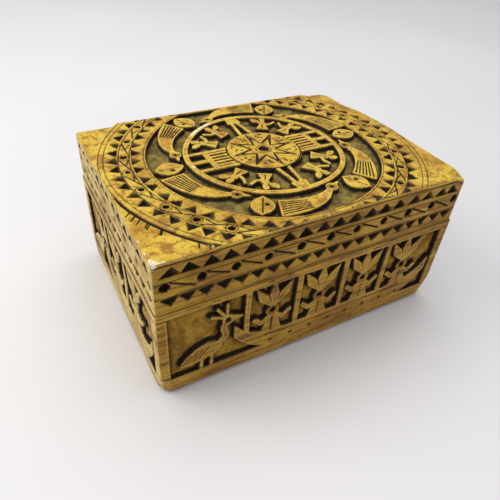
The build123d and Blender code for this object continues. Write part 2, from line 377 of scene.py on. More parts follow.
def carved_bar(name, side, span, reach, relief, depth, stain_and_shading, back, materials, soften):
    """A mitred wall or rail: carved outside, with its plain back given as (depth, z) downwards."""
    vs, us = relief.rows_and_columns
    end = span / 2
    edge = depth[:, :1]
    x = relief.u * (end - edge) / end
    # colour by face, partly painted light: front and back darker ochre, left and right ends paler as painted
    # sheen
    face_tint_and_light = np.full(depth.shape, 1.0 if side in ("front", "back") else 0.5)
    values = np.stack([depth, stain_and_shading, face_tint_and_light, relief.bare_and_glint], -1)
    points = np.stack([x, depth - reach, relief.v], -1)
    points[:, -1, 0] = end - depth[:, 0]
    points[:, -1, 1] = depth[:, 0] - reach
    solid = Solid()
    solid.sheet(turned(points.reshape(-1, 3), SIDES[side]).reshape(points.shape), values)
    left_back = [(-(end - d), d - reach, z) for d, z in back]
    right_back = [(end - d, d - reach, z) for d, z in back]

    def flat(path, slot):
        solid.fan(turned(np.array(path, float), SIDES[side]), slot)

    flat(list(points[:, 0]) + left_back, 1)
    flat(right_back[::-1] + list(points[::-1, -1]), 1)
    flat(list(points[-1]) + [right_back[0], left_back[0]], 1)
    flat([left_back[-1], right_back[-1]] + list(points[0, ::-1]), 1)
    for i in range(len(back) - 1):
        flat([left_back[i + 1], left_back[i], right_back[i], right_back[i + 1]], 1)
    return solid.build(name, materials, soften)


# ---------------------------------------------------------------- sizes of the box, from the frame
base_low = np.array([box_mm("base_left_wall")[0][0], box_mm("base_front_wall")[0][1], 0])
LENGTH = -2 * base_low[0]
DEPTH = -2 * base_low[1]
WALL = np.ptp([corner[0] for corner in box_mm("base_left_wall")])
SEAM = box_mm("base_front_wall")[1][2]
BOARD_LOW, BOARD_HIGH = box_mm("lid_top_board")
LID_LENGTH = BOARD_HIGH[0] - BOARD_LOW[0]
LID_DEPTH = BOARD_HIGH[1] - BOARD_LOW[1]
RAIL = np.ptp([corner[0] for corner in box_mm("lid_left_rail")])
BOARD_UNDER, BOARD_TOP = BOARD_LOW[2], BOARD_HIGH[2]
FLOOR_BOARD = box_mm("base_bottom_board")
MEDALLION_LOW, MEDALLION_HIGH = box_mm("sun_medallion")
CENTRE = ((MEDALLION_LOW + MEDALLION_HIGH) / 2)[:2]
MEDALLION = (MEDALLION_HIGH[0] - MEDALLION_LOW[0]) / 2

CORNER = 1.4  # worn upright corners
FOOT = 2.5  # bevelled foot
TOP_EDGE = 1.0  # worn upper edge of the lid
SEAM_EDGE = 0.35  # worn edges along the seam and the board's joint
WORN_CORNER = ((1, 1), 6.4)  # the back right corner of the lid's board
UNDER_STRIP = 9.0  # width of the strip round the board's underside
STAR_HOLE = 1.85  # the hole in the middle of the medallion


# ---------------------------------------------------------------- figures of the walls
# Plain stock figures, evenly spaced: a wading bird, a long boat, and feathered people.
def feathered_person(relief, x, head, foot, top):
    """A standing person: a drilled head, a flared robe, two arms and a fan of three feathers."""
    relief.stand(disc(x, head, 2.7))
    relief.stand(polygon([(x - 1.5, head - 1), (x + 1.5, head - 1), (x + 4.8, foot), (x - 4.8, foot)]))
    for s in (-1, 1):
        relief.stand(stroke([(x + s, head - 2.6), (x + 4.6 * s, head - 5.2), (x + 7.4 * s, head - 2.6)], 2.0))
    tall = top - head
    for turn in (-30, 0, 30):
        tip = polar(tall + 1.5, 90 + turn, (x, head))
        sides = [polar(0.66 * tall, 90 + turn + spread, (x, head)) for spread in (-13, 13)]
        relief.stand(polygon([(x, head + 1.5), sides[0], tip, sides[1]]))
    relief.line([(x, head - 3.2), (x, foot + 1)])
    relief.pit(x, head, 1.4, 1.7)
    relief.ring(x, head, 2.0)


def wading_bird(relief, x, z):
    """A long-legged bird facing right. (x, z) is between its feet."""

    def at(points):
        return [(x + u, z + v) for u, v in points]

    relief.stand(polygon(smooth(at([(-10, 5), (-5, 11), (1, 14), (6.5, 12.6), (8, 9), (3, 6), (-4, 4.6)]))))
    relief.stand(stroke(smooth(at([(5.6, 11), (9.4, 14.4), (7.8, 18.4), (9.6, 22)]), closed=False), 2.6))
    relief.stand(disc(x + 9.8, z + 22, 2.3))
    relief.stand(polygon(at([(10.6, 23.8), (16.4, 21.4), (10.8, 20.6)])))
    for tip in ((3.4, 25.6), (5.6, 28.6), (9.4, 29.6)):
        relief.stand(stroke(at([(9.4, 23), tip]), 1.1))
    for foot in (-0.8, 3.2):
        relief.stand(stroke(at([(foot + 0.4, 7), (foot, -1)]), 1.3))
    for i in range(4):
        relief.line(at([(-8.2 + 2.2 * i, 5.8 + 0.3 * i), (-4.4 + 2.2 * i, 9.8 + 0.5 * i)]), 0.55, 0.45)
    relief.pit(x + 9.8, z + 22, 1.1, 1.5)


def long_boat(relief, bow, stern, deck, keel):
    """A boat with two upswept ends, a plank line, and a row of oar ports."""
    t = np.linspace(-1, 1, 29)
    x = (bow + stern) / 2 + t * (stern - bow) / 2
    upper = deck + 10 * np.abs(t) ** 7
    lower = keel + 13 * np.abs(t) ** 5
    relief.stand(polygon(list(zip(x, upper)) + list(zip(x[::-1], lower[::-1]))))
    relief.line(list(zip(x, upper - 2.2))[4:-4], 0.6, 0.45)
    for port in np.arange(bow + 16, stern - 12, 9.2):
        relief.pit(port, (deck + keel) / 2 - 0.6, 0.8, 0.9)


def wall_figures(relief, span, seed):
    """The sunk panel of one base wall: a bird on the left, and a boat with its people and masts."""
    dice = np.random.default_rng(seed)
    left, right, low, high = -span / 2 + 3.9, span / 2 - 4.5, 7.6, SEAM - 2.8
    relief.sink(polygon([(left, low), (right, low - 0.2), (right, high - 0.6), (left, high)]))
    wading_bird(relief, left + 12.5, low)
    bow, stern, deck = left + 25, right - 2, low + 7.2
    long_boat(relief, bow, stern, deck, low - 2.4)
    people = int((stern - bow - 6) // 19)
    pitch = (stern - bow - 10) / people
    for i in range(people):
        x = bow + 5 + pitch * (i + 0.5)
        feathered_person(relief, x, low + 18.4 + dice.uniform(-0.5, 0.5), deck - 0.5, high)
        mast = x - pitch / 2 + dice.uniform(-0.4, 0.4)
        relief.stand(stroke([(mast, high + 1), (mast + dice.uniform(-0.5, 0.5), deck)], 2.1))
    for _ in range(14):
        u = dice.uniform(-span / 2 + 2, span / 2 - 6)
        v = dice.choice([dice.uniform(3.2, 7), dice.uniform(40, 42)])
        relief.line([(u, v), (u + dice.uniform(1, 4), v + dice.uniform(-0.2, 0.2))], 0.4, 0.14)
    relief.line([(-span / 2, SEAM), (span / 2, SEAM)], 0.7, 0.1, darkening=0.5)


def saw_band(relief, span, base, apex, pitch, depth, seed):
    """A row of sunk triangles along a side."""
    dice = np.random.default_rng(seed)
    count = int(round((span - 4) / pitch))
    step = (span - 4) / count
    for i in range(count):
        u = -span / 2 + 2 + step * (i + 0.5) + dice.uniform(-0.3, 0.3)
        half = step * dice.uniform(0.5, 0.56)
        lean = dice.uniform(-0.8, 0.8)
        corners = [(u - half, base), (u + half, base + dice.uniform(-0.15, 0.15)), (u + lean, apex)]
        # the lower left of each triangle is cut deepest and painted darkest there, as painted shade
        relief.chip(polygon(corners), depth, deep_shaded_point=(u - half * 0.5, base))


def dot_band(relief, span, z, pitch, seed):
    """Drilled dots with a slanting line from each to the next."""
    dice = np.random.default_rng(seed)
    count = int(round((span - 7.0) / pitch))
    step = (span - 7.0) / count
    dots = [-span / 2 + 3.8 + step * i + dice.uniform(-0.7, 0.7) * (0 < i < count) for i in range(count + 1)]
    for u in dots:
        relief.pit(u, z + dice.uniform(-0.25, 0.25), dice.uniform(1.55, 1.85), 2.0)
    for here, there in zip(dots, dots[1:]):
        relief.line([(here + 1.9, z + 1.5), (there - 2.4, z - 1.9 + dice.uniform(-0.5, 0.5))], 0.85, 0.7)


# ---------------------------------------------------------------- the round field of the lid
BAND = 31.5  # middle of the raised band between the two rings of figures


def small_dancer(relief, radius, degrees, flip):
    """A little person in the inner ring, with a robe, one long arm and two leaf-shaped feathers."""
    foot = polar(radius, degrees, CENTRE)

    def at(points):
        return placed(points, *foot, degrees - 90, flip)

    relief.stand(polygon(at([(-2.8, -4.6), (2.8, -4.6), (0.9, 0.6), (-0.9, 0.6)])))
    relief.stand(disc(*at([(0, 1.2)])[0], 1.5))
    relief.stand(stroke(at([(0.4, -0.6), (3.4, 0.8), (5.2, 3.0)]), 1.1))
    trailing = [(-0.6, 1.6), (-4.6, 2.0), (-5.6, 5.0), (-2.2, 4.4)]
    upright = [(-0.2, 2.0), (-1.8, 5.6), (0.6, 6.6), (1.4, 3.6)]
    for feather in (trailing, upright):
        relief.stand(polygon(smooth(at(feather), rounds=1)))
    relief.line(at([(0, -0.4), (0, -4)]), 0.5, 0.4)


def barred_panel(relief, side):
    """A frame of crossbars beside the medallion. side is 1 or -1."""

    def bar(near, far, low, high):
        outline = [(near, low), (far, low), (far, high), (near, high)]
        relief.stand(polygon([(CENTRE[0] + side * u, CENTRE[1] + v) for u, v in outline]))

    for v in (-7.2, 5.6):
        bar(MEDALLION - 1, BAND, v, v + 1.6)
    bar(22.4, 24.4, -7, 7)
    bar(24, BAND, -0.9, 0.9)
    for v in np.linspace(-4.9, 3.9, 5):
        bar(MEDALLION - 0.4, 22.6, v, v + 1.0)


def twin_posts(relief, side):
    """Two leaning posts under a cap, above or below the medallion. side is 1 or -1."""

    def at(points):
        return [(CENTRE[0] + u, CENTRE[1] + side * v) for u, v in points]

    for lean in (-1, 1):
        relief.stand(stroke(at([(2.6 * lean, MEDALLION - 1), (1.2 * lean, 27)]), 1.3))
    relief.stand(polygon(at([(-3.2, 26), (3.2, 26), (2.2, BAND), (-2.2, BAND)])))


def ring_bird(relief, tail, head):
    """A long bird flying round the outer ring, from its fan tail to its head by the band."""

    def at(t, radius):
        return polar(radius, tail + (head - tail) * t, CENTRE)

    t = np.linspace(0, 1, 9)
    upper = [at(k, 46.4 - 5.6 * k - 6.2 * k**4) for k in t]
    lower = [at(k, 36.8 + 0.6 * k - 3.4 * k**4) for k in t]
    relief.stand(polygon(upper + lower[::-1]))
    for share in np.linspace(0.14, 0.86, 6):
        relief.line([at(0.03, 36.8 + 9.6 * share), at(0.42, 37.2 + 6.6 * share)], 0.65, 0.5)
    relief.stand(disc(*at(0.98, 35.4), 2.3))
    relief.stand(polygon([at(1.0, 36.8), at(1.2, 34.8), at(1.0, 34.0)]))
    relief.pit(*at(0.98, 35.4), 1.0, 1.5)
    relief.ring(*at(0.98, 35.4), 1.6)


def leaf(relief, degrees):
    """A veined leaf between two birds of the outer ring."""
    t = np.linspace(0, 1, 7)
    half = 6.2 * np.sin(math.pi * t) ** 0.8
    middle = 34.4 + 11.4 * t
    outline = [polar(m, degrees + w, CENTRE) for m, w in zip(middle, half)]
    outline += [polar(m, degrees - w, CENTRE) for m, w in zip(middle[::-1], half[::-1])]
    relief.stand(polygon(outline))
    relief.line([polar(35.4, degrees, CENTRE), polar(44.6, degrees, CENTRE)], 0.6, 0.5)
    relief.pit(*polar(39.4, degrees + 2.2, CENTRE), 0.9, 1.4)


def carve_figures(relief):
    """Everything that stands in the round field, evenly spread round the medallion."""
    for side in (-1, 1):
        barred_panel(relief, side)
        twin_posts(relief, side)
    for i, degrees in enumerate((35, 62, 118, 145, 215, 242, 298, 325)):
        small_dancer(relief, 23.6, degrees, i % 2 == 0)
    for i in range(6):
        ring_bird(relief, 60 * i + 8, 60 * i + 46)
        leaf(relief, 60 * i)


def ring_of_triangles(relief, count, base, apex, half, spare, dice):
    """Sunk triangles round the medallion's axis, between two radii."""
    for i in range(count):
        a = 360 / count * i + dice.uniform(-spare, spare)
        wide = half * dice.uniform(0.92, 1.08)
        corners = [polar(base, a - wide, CENTRE), polar(base, a + wide, CENTRE)]
        corners.append(polar(apex, a + dice.uniform(-0.8, 0.8), CENTRE))
        # one side of each triangle is cut deepest and painted darkest there, as painted shade
        relief.chip(polygon(corners), 1.4, deep_shaded_point=corners[i % 2])


def corner_scratches(relief, dice):
    """Short tool marks on the plain corners of the board."""
    for sx, sy, count in ((1, -1, 60), (-1, 1, 34), (-1, -1, 30), (1, 1, 20)):
        for _ in range(count):
            u = sx * (LID_LENGTH / 2 - dice.uniform(2, 18))
            v = sy * (LID_DEPTH / 2 - dice.uniform(2, 18))
            if math.hypot(u - CENTRE[0], v - CENTRE[1]) > 66:
                tip = (u + dice.uniform(1.2, 3.6), v + dice.uniform(0.6, 1.8))
                relief.line([(u, v), tip], 0.45, 0.2, darkening=0.32)


def bare_spots_and_glints(relief):
    """Pale patches: the front left corner and the left edge rubbed or knocked bare, painted highlights along
    the upper left of the raised band, and one more pale spot on the band's left.
    """
    left, front = -LID_LENGTH / 2, -LID_DEPTH / 2
    relief.wear_and_glint(left + 0.6, front + 0.6, 2.4, 51)
    for i, (x, y, radius) in enumerate(((0.2, 6, 0.8), (0.1, 12, 0.9), (4, 0.2, 0.9))):
        relief.wear_and_glint(left + x, front + y, radius, 52 + i)
    # painted highlight: a row of pale spots along the upper left of the raised band
    for i in range(9):
        relief.wear_and_glint(*polar(BAND, 110 + 3 * i, CENTRE), 0.9, 60 + i)
    relief.wear_and_glint(*polar(BAND, 184, CENTRE), 0.9, 70)


def carve_board_top(relief):
    """The whole upper face of the lid's board."""
    dice = np.random.default_rng(11)
    du, dv = relief.u - CENTRE[0], relief.v - CENTRE[1]
    angle = np.arctan2(dv, du)
    r = np.hypot(du, dv) + 0.3 * np.sin(3 * angle + 0.7) + 0.2 * np.sin(5 * angle + 2.0)
    front = relief.v + LID_DEPTH / 2
    back = LID_DEPTH / 2 - relief.v
    relief.field = np.maximum.reduce([MEDALLION - r, r - 46.9, 3 - front, 1.4 - back])
    relief.raised = np.abs(r - BAND) - 1.0
    carve_figures(relief)
    ring_of_triangles(relief, 49, 52.4, 48.0, 3.1, 0.5, dice)
    ring_of_triangles(relief, 58, 57.6, 61.7, 2.9, 0.4, dice)
    for i in range(27):
        a = 360 / 27 * i + 4 + dice.uniform(-1, 1)
        x, y = polar(54.9, a, CENTRE)
        relief.pit(x, y, dice.uniform(1.15, 1.4), 1.7)
        relief.ring(x, y, 2.0)
        relief.line([polar(56.6, a + 2.4, CENTRE), polar(53.4, a + 11.0, CENTRE)], 0.7, 0.55)
        relief.line([polar(53.4, a + 2.6, CENTRE), polar(54.6, a + 7.0, CENTRE)], 0.6, 0.45)
    for radius, width, depth in ((47.5, 0.5, 0.4), (52.9, 0.65, 0.6), (57.0, 0.65, 0.6), (62.4, 0.5, 0.35)):
        relief.round_line(r, radius, width, depth)
    # Outside the last circle, a bold arc and short marks at the front left only.
    bold = ramp((angle + math.radians(174)) / 0.15) * ramp((math.radians(-122) - angle) / 0.15)
    relief.round_line(r, 64.3, 0.6, 0.35)
    relief.round_line(np.where(bold > 0.4, r, FAR), 64.5, 1.7, 1.1)
    for _ in range(12):
        a = dice.uniform(192, 242)
        relief.line([polar(64.8, a, CENTRE), polar(67.2 + dice.uniform(0, 0.8), a + 1.2, CENTRE)], 0.6, 0.6)
    corner_scratches(relief, dice)
    relief.line([(-20, -44), (21, -44)], 0.5, 0.4)
    bare_spots_and_glints(relief)
    relief.cut *= ramp((front - 1.9) / 0.6) * ramp((back - 0.3) / 0.5)
    relief.cut *= ramp((LID_LENGTH / 2 - np.abs(relief.u) - 0.6) / 0.6)
    # socket for the medallion: its dark floor shows as a thin ring round the disc, a painted shadow in the
    # gap
    relief.chip(disc(*CENTRE, MEDALLION + 0.3), BOARD_TOP - MEDALLION_LOW[2] + 0.1)


def carve_board_side(relief, side, span, seed):
    """The edge of the lid's board: a line near the top and a row of triangles standing up."""
    if side == "front":
        relief.wear_and_glint(-span / 2, BOARD_TOP, 2.0, 31)
        relief.wear_and_glint(-2, BOARD_TOP, 0.9, 32)
    relief.line([(-span / 2, BOARD_TOP - 1.8), (span / 2, BOARD_TOP - 1.8)], 0.5, 0.35)
    saw_band(relief, span, BOARD_UNDER + 0.6, BOARD_TOP - 2.5, 6.8, 1.6, seed)


def carve_rail(relief, span, seed):
    """A lid rail: drilled dots, a line, and a row of triangles hanging down."""
    relief.line([(-span / 2, BOARD_UNDER - 1.1), (span / 2, BOARD_UNDER - 1.1)], 0.5, 0.4)
    dot_band(relief, span, SEAM + 10.8, 12.4, seed)
    relief.line([(-span / 2, SEAM + 6.5), (span / 2, SEAM + 6.5)], 0.6, 0.5)
    saw_band(relief, span, SEAM + 6.1, SEAM + 2.1, 6.2, 1.5, seed + 7)
    relief.line([(-span / 2, SEAM + 0.9), (span / 2, SEAM + 0.9)], 0.5, 0.25, darkening=0.45)


# ---------------------------------------------------------------- materials
class Nodes:
    """Short calls for building one material."""

    def __init__(self, name):
        self.material = bpy.data.materials.new(name)
        self.material.use_nodes = True
        self.tree = self.material.node_tree
        self.shader = self.tree.nodes["Principled BSDF"]
        self.place = self.tree.nodes.new("ShaderNodeTexCoord").outputs["Object"]

    def link(self, value, socket):
        if isinstance(value, bpy.types.NodeSocket):
            self.tree.links.new(value, socket)
        else:
            socket.default_value = value

    def math(self, operation, *values, clamp=False):
        node = self.tree.nodes.new("ShaderNodeMath")
        node.operation = operation
        node.use_clamp = clamp
        for value, socket in zip(values, node.inputs):
            self.link(value, socket)
        return node.outputs[0]

    def value(self, attribute):
        node = self.tree.nodes.new("ShaderNodeAttribute")
        node.attribute_name = attribute
        return node.outputs["Fac"]

    def noise(self, scale, stretch=(1, 1, 1), detail=4.0, rough=0.55, distortion=0.0):
        mapping = self.tree.nodes.new("ShaderNodeMapping")
        mapping.inputs["Scale"].default_value = stretch
        self.link(self.place, mapping.inputs["Vector"])
        node = self.tree.nodes.new("ShaderNodeTexNoise")
        self.link(mapping.outputs[0], node.inputs["Vector"])
        node.inputs["Scale"].default_value = scale
        node.inputs["Detail"].default_value = detail
        node.inputs["Roughness"].default_value = rough
        node.inputs["Distortion"].default_value = distortion
        return node.outputs["Fac"]

    def between(self, value, low, high, to_low=0.0, to_high=1.0):
        """Map low..high of a value to a range, clamped."""
        node = self.tree.nodes.new("ShaderNodeMapRange")
        node.interpolation_type = "SMOOTHSTEP"
        for part, socket in zip((value, low, high, to_low, to_high), node.inputs):
            self.link(part, socket)
        return node.outputs[0]

    def mix(self, amount, first, second):
        node = self.tree.nodes.new("ShaderNodeMix")
        node.data_type = "RGBA"
        self.link(amount, node.inputs[0])
        self.link(first, node.inputs[6])
        self.link(second, node.inputs[7])
        return node.outputs[2]

    def bump(self, height, strength, distance):
        node = self.tree.nodes.new("ShaderNodeBump")
        node.inputs["Strength"].default_value = strength
        node.inputs["Distance"].default_value = distance
        self.link(height, node.inputs["Height"])
        self.link(node.outputs[0], self.shader.inputs["Normal"])


def colour(red, green, blue):
    """An sRGB colour, 0 to 255, as linear RGBA."""
    def linear(c):
        c /= 255
        return c / 12.92 if c <= 0.04045 else ((c + 0.055) / 1.055) ** 2.4

    return (linear(red), linear(green), linear(blue), 1.0)


def carved_wood():
    """Yellow stained wood with a dark wash in the cuts. Its colour by face is partly painted light: brightest
    on top, darker ochre on the front and back, and paler tan on the left and right ends as painted sheen.
    """
    n = Nodes("carved_wood")
    depth, stain_and_shading, side, bare_and_glint = n.value("depth"), n.value("stain_and_shading"), n.value("side"), n.value("bare_and_glint")
    on_side = n.between(side, 0.05, 0.45)
    mottle = n.noise(60, detail=3)
    blotch = n.noise(210, detail=5, rough=0.65)
    patchy = n.noise(520, detail=4, rough=0.7)
    grain = n.noise(620, (0.06, 1, 1), detail=6, rough=0.75)
    grain_y = n.noise(620, (1, 0.06, 1), detail=6, rough=0.75)
    specks = n.noise(1500, (0.35, 1, 1), detail=3, rough=0.7)
    # the top brightest of the faces: partly painted light
    top = n.mix(n.between(mottle, 0.36, 0.64), colour(216, 180, 58), colour(192, 150, 42))
    top = n.mix(n.between(blotch, 0.47, 0.63), top, colour(160, 116, 34))
    top = n.mix(n.between(patchy, 0.5, 0.66, 0.0, 0.7), top, colour(132, 92, 30))
    top = n.mix(n.between(blotch, 0.3, 0.42, 0.6, 0.0), top, colour(214, 184, 70))
    ochre = n.mix(n.between(mottle, 0.36, 0.64), colour(184, 142, 42), colour(158, 112, 30))
    ochre = n.mix(n.between(grain, 0.47, 0.62), ochre, colour(104, 68, 18))
    # paler, less yellow left and right ends: partly the stain's tint, partly painted sheen
    sheen_tan = n.mix(n.between(mottle, 0.36, 0.64), colour(214, 188, 116), colour(184, 150, 80))
    sheen_tan = n.mix(n.between(grain_y, 0.5, 0.64), sheen_tan, colour(112, 82, 36))
    flank = n.mix(n.between(side, 0.55, 0.95), sheen_tan, ochre)
    skin = n.mix(on_side, top, flank)
    skin = n.mix(n.between(specks, 0.6, 0.68, 0.0, 0.6), skin, colour(66, 44, 20))
    ground_top = n.mix(n.between(blotch, 0.4, 0.62), colour(136, 116, 56), colour(92, 76, 38))
    ground_side = n.mix(n.between(blotch, 0.38, 0.6), colour(164, 124, 40), colour(124, 88, 26))
    # paler ground on the left and right ends: painted sheen as well
    ground_sheen_tan = n.mix(n.between(blotch, 0.38, 0.6), colour(176, 142, 76), colour(128, 94, 44))
    ground_side = n.mix(n.between(side, 0.55, 0.95), ground_sheen_tan, ground_side)
    ground = n.mix(on_side, ground_top, ground_side)
    sunk = n.between(depth, 0.35, 0.95)
    base = n.mix(sunk, skin, ground)
    # lit: the lighter rims beside the cuts, partly wear and partly painted highlight
    lit = n.mix(on_side, colour(230, 198, 92), colour(212, 174, 92))
    worn = n.math("MULTIPLY", n.between(stain_and_shading, -1.0, -0.25, 0.6, 0.0), n.between(blotch, 0.34, 0.56))
    base = n.mix(worn, base, lit)
    # cream where worn bare, and painted highlights on the raised band
    base = n.mix(bare_and_glint, base, n.mix(n.between(patchy, 0.4, 0.6), colour(244, 236, 214), colour(214, 192, 148)))
    # near black: the stain in the cuts, with painted shade in the sunk triangles and painted shadow round the
    # medallion
    stain_and_shade_amount = n.math("ADD", stain_and_shading, n.math("MULTIPLY", n.math("SUBTRACT", patchy, 0.5), 0.35))
    dark = n.between(stain_and_shade_amount, 0.12, 0.74, 0.0, 0.98)
    base = n.mix(dark, base, colour(20, 15, 8))
    n.link(base, n.shader.inputs["Base Color"])
    gloss = n.math("ADD", n.between(blotch, 0.3, 0.7, 0.4, 0.58), n.math("MULTIPLY", sunk, 0.35), clamp=True)
    n.link(gloss, n.shader.inputs["Roughness"])
    n.shader.inputs["Specular IOR Level"].default_value = 0.22
    height = n.math("ADD", n.math("MULTIPLY", grain, 0.7), n.math("MULTIPLY", specks, 0.4))
    n.bump(n.math("ADD", height, n.math("MULTIPLY", patchy, 0.6)), 0.4, 0.0004)
    return n.material


def plain_wood(name, light, dark, along, rough=0.6):
    """Plain planed wood with its grain along an axis (0 for X, 1 for Y, 2 for Z)."""
    n = Nodes(name)
    stretch = [1.0, 1.0, 1.0]
    stretch[along] = 0.07
    figure = n.noise(160, stretch, detail=4, rough=0.6, distortion=0.6)
    fibre = n.noise(1400, stretch, detail=5, rough=0.7)
    patch = n.noise(28, detail=2)
    base = n.mix(n.between(figure, 0.36, 0.64), light, dark)
    base = n.mix(n.between(fibre, 0.5, 0.72, 0, 0.55), base, tuple(c * 0.55 for c in dark[:3]) + (1.0,))
    base = n.mix(n.between(patch, 0.4, 0.65, 0, 0.4), base, dark)
    n.link(base, n.shader.inputs["Base Color"])
    n.link(n.between(fibre, 0.3, 0.7, rough - 0.08, rough + 0.1), n.shader.inputs["Roughness"])
    n.bump(n.math("ADD", fibre, n.math("MULTIPLY", figure, 0.5)), 0.3, 0.0003)
    return n.material


def brass():
    n = Nodes("screw_brass")
    cloudy = n.noise(600, detail=4)
    turning = n.noise(5000, (1, 1, 0.2), detail=2)
    base = n.mix(n.between(cloudy, 0.35, 0.7), colour(208, 170, 92), colour(142, 104, 50))
    n.link(base, n.shader.inputs["Base Color"])
    n.shader.inputs["Metallic"].default_value = 1.0
    n.link(n.between(turning, 0.3, 0.7, 0.26, 0.42), n.shader.inputs["Roughness"])
    n.bump(turning, 0.15, 0.0001)
    return n.material


# ---------------------------------------------------------------- building the box
carved = carved_wood()
bare_x = plain_wood("bare_wood_x", colour(168, 134, 78), colour(132, 98, 52), 0)
bare_y = plain_wood("bare_wood_y", colour(168, 134, 78), colour(132, 98, 52), 1)
skins = {side: [carved, bare_x if side in ("front", "back") else bare_y] for side in SIDES}


def across(side, length, depth):
    """How long a side is, and how far from the middle it stands."""
    return (length, depth / 2) if side in ("front", "back") else (depth, length / 2)


def soften_base(points):
    points = rounded_edge(points, LENGTH / 2, DEPTH / 2, 0, FOOT, up=-1)
    points = rounded_edge(points, LENGTH / 2, DEPTH / 2, SEAM, SEAM_EDGE)
    return rounded_plan(points, LENGTH / 2, DEPTH / 2, CORNER + 4.6 * ramp((12 - points[:, 2]) / 12))


def soften_rail(points):
    points = rounded_edge(points, LID_LENGTH / 2, LID_DEPTH / 2, SEAM, SEAM_EDGE, up=-1)
    points = rounded_edge(points, LID_LENGTH / 2, LID_DEPTH / 2, BOARD_UNDER, SEAM_EDGE * 0.7)
    return rounded_plan(points, LID_LENGTH / 2, LID_DEPTH / 2, CORNER, ((1, 1), 3.4))


def soften_board(points):
    """Round the edges, draw the right end in towards the back, and drop the corners."""
    points = rounded_edge(points, LID_LENGTH / 2, LID_DEPTH / 2, BOARD_TOP, TOP_EDGE)
    points = rounded_edge(points, LID_LENGTH / 2, LID_DEPTH / 2, BOARD_UNDER, SEAM_EDGE * 0.7, up=-1)
    points = rounded_plan(points, LID_LENGTH / 2, LID_DEPTH / 2, CORNER, WORN_CORNER)
    up = ramp((points[:, 2] - BOARD_UNDER) / (BOARD_TOP - BOARD_UNDER))
    end = ramp((points[:, 0] - 46) / (LID_LENGTH / 2 - 46))
    points[:, 0] -= 2.6 * end * up * ramp((points[:, 1] + 6) / 46)
    back = ramp((points[:, 1] + 12) / 34)
    away = np.hypot(points[:, 0] - CENTRE[0], points[:, 1] - CENTRE[1])
    points[:, 2] -= up * ramp((away - 64.3) / 2.2) * (0.3 + 1.0 * back)
    to_corner = np.hypot(points[:, 0] - LID_LENGTH / 2, points[:, 1] + LID_DEPTH / 2)
    points[:, 2] -= up * 2.0 * ramp(1 - to_corner / 7.0)
    return points


def settle(piece, body, node):
    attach(piece, body)
    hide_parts(node)


def base_walls():
    rabbet = WALL - (FLOOR_BOARD[1][0] - (LENGTH / 2 - WALL))
    back = [(WALL, SEAM), (WALL, FLOOR_BOARD[1][2]), (rabbet, FLOOR_BOARD[1][2]), (rabbet, 0)]
    for i, side in enumerate(SIDES):
        span, reach = across(side, LENGTH, DEPTH)
        relief = Relief.on_grid(spaced(-span / 2, span / 2), spaced(0, SEAM))
        wall_figures(relief, span, 100 + i)
        depth, stain_and_shading = relief.finish(2.0, 0.6, 0.4, 0.95, 200 + 10 * i)
        depth *= ramp((span / 2 - np.abs(relief.u)) / 1.6)
        name = f"base_{side}_carving"
        piece = carved_bar(name, side, span, reach, relief, depth, stain_and_shading, back, skins[side], soften_base)
        settle(piece, "base", f"base_{side}_wall")


def lid_rails():
    back = [(RAIL, BOARD_UNDER), (RAIL, SEAM)]
    for i, side in enumerate(SIDES):
        span, reach = across(side, LID_LENGTH, LID_DEPTH)
        relief = Relief.on_grid(spaced(-span / 2, span / 2), spaced(SEAM, BOARD_UNDER))
        carve_rail(relief, span, 300 + i)
        depth, stain_and_shading = relief.finish(0.0, 0.6, 0.0, 1.0, 320 + 10 * i)
        depth *= ramp((span / 2 - np.abs(relief.u)) / 1.2)
        name = f"lid_{side}_rail_carving"
        piece = carved_bar(name, side, span, reach, relief, depth, stain_and_shading, back, skins[side], soften_rail)
        settle(piece, "lid", f"lid_{side}_rail")


def board_side(solid, side, seed, us, zs):
    """Add one side of the lid's board and its strip of the underside. Returns the strip's inner corner."""
    span, reach = across(side, LID_LENGTH, LID_DEPTH)
    relief = Relief.on_grid(us, zs)
    carve_board_side(relief, side, span, 420 + seed)
    depth, stain_and_shading = relief.finish(0.0, 0.6, 0.0, 1.0, 440 + 10 * seed)
    depth *= ramp((span / 2 - np.abs(relief.u)) / 1.2) * ramp((BOARD_TOP - relief.v) / 0.8)
    # colour by face, partly painted light: front and back darker ochre, left and right ends paler as painted
    # sheen
    face_tint_and_light = np.full(depth.shape, 1.0 if side in ("front", "back") else 0.5)
    face_tint_and_light *= ramp((BOARD_TOP - 0.2 - relief.v) / 1.0)
    points = np.stack([relief.u, depth - reach, relief.v], -1)
    points = turned(points.reshape(-1, 3), SIDES[side]).reshape(points.shape)
    solid.sheet(points, np.stack([depth, stain_and_shading, face_tint_and_light, relief.bare_and_glint], -1))
    half, out = span / 2 - UNDER_STRIP, UNDER_STRIP - reach
    inset = turned(np.array([[-half, out, BOARD_UNDER], [half, out, BOARD_UNDER]]), SIDES[side])
    solid.fan(list(points[0, ::-1]) + list(inset), 1)
    return inset[0]


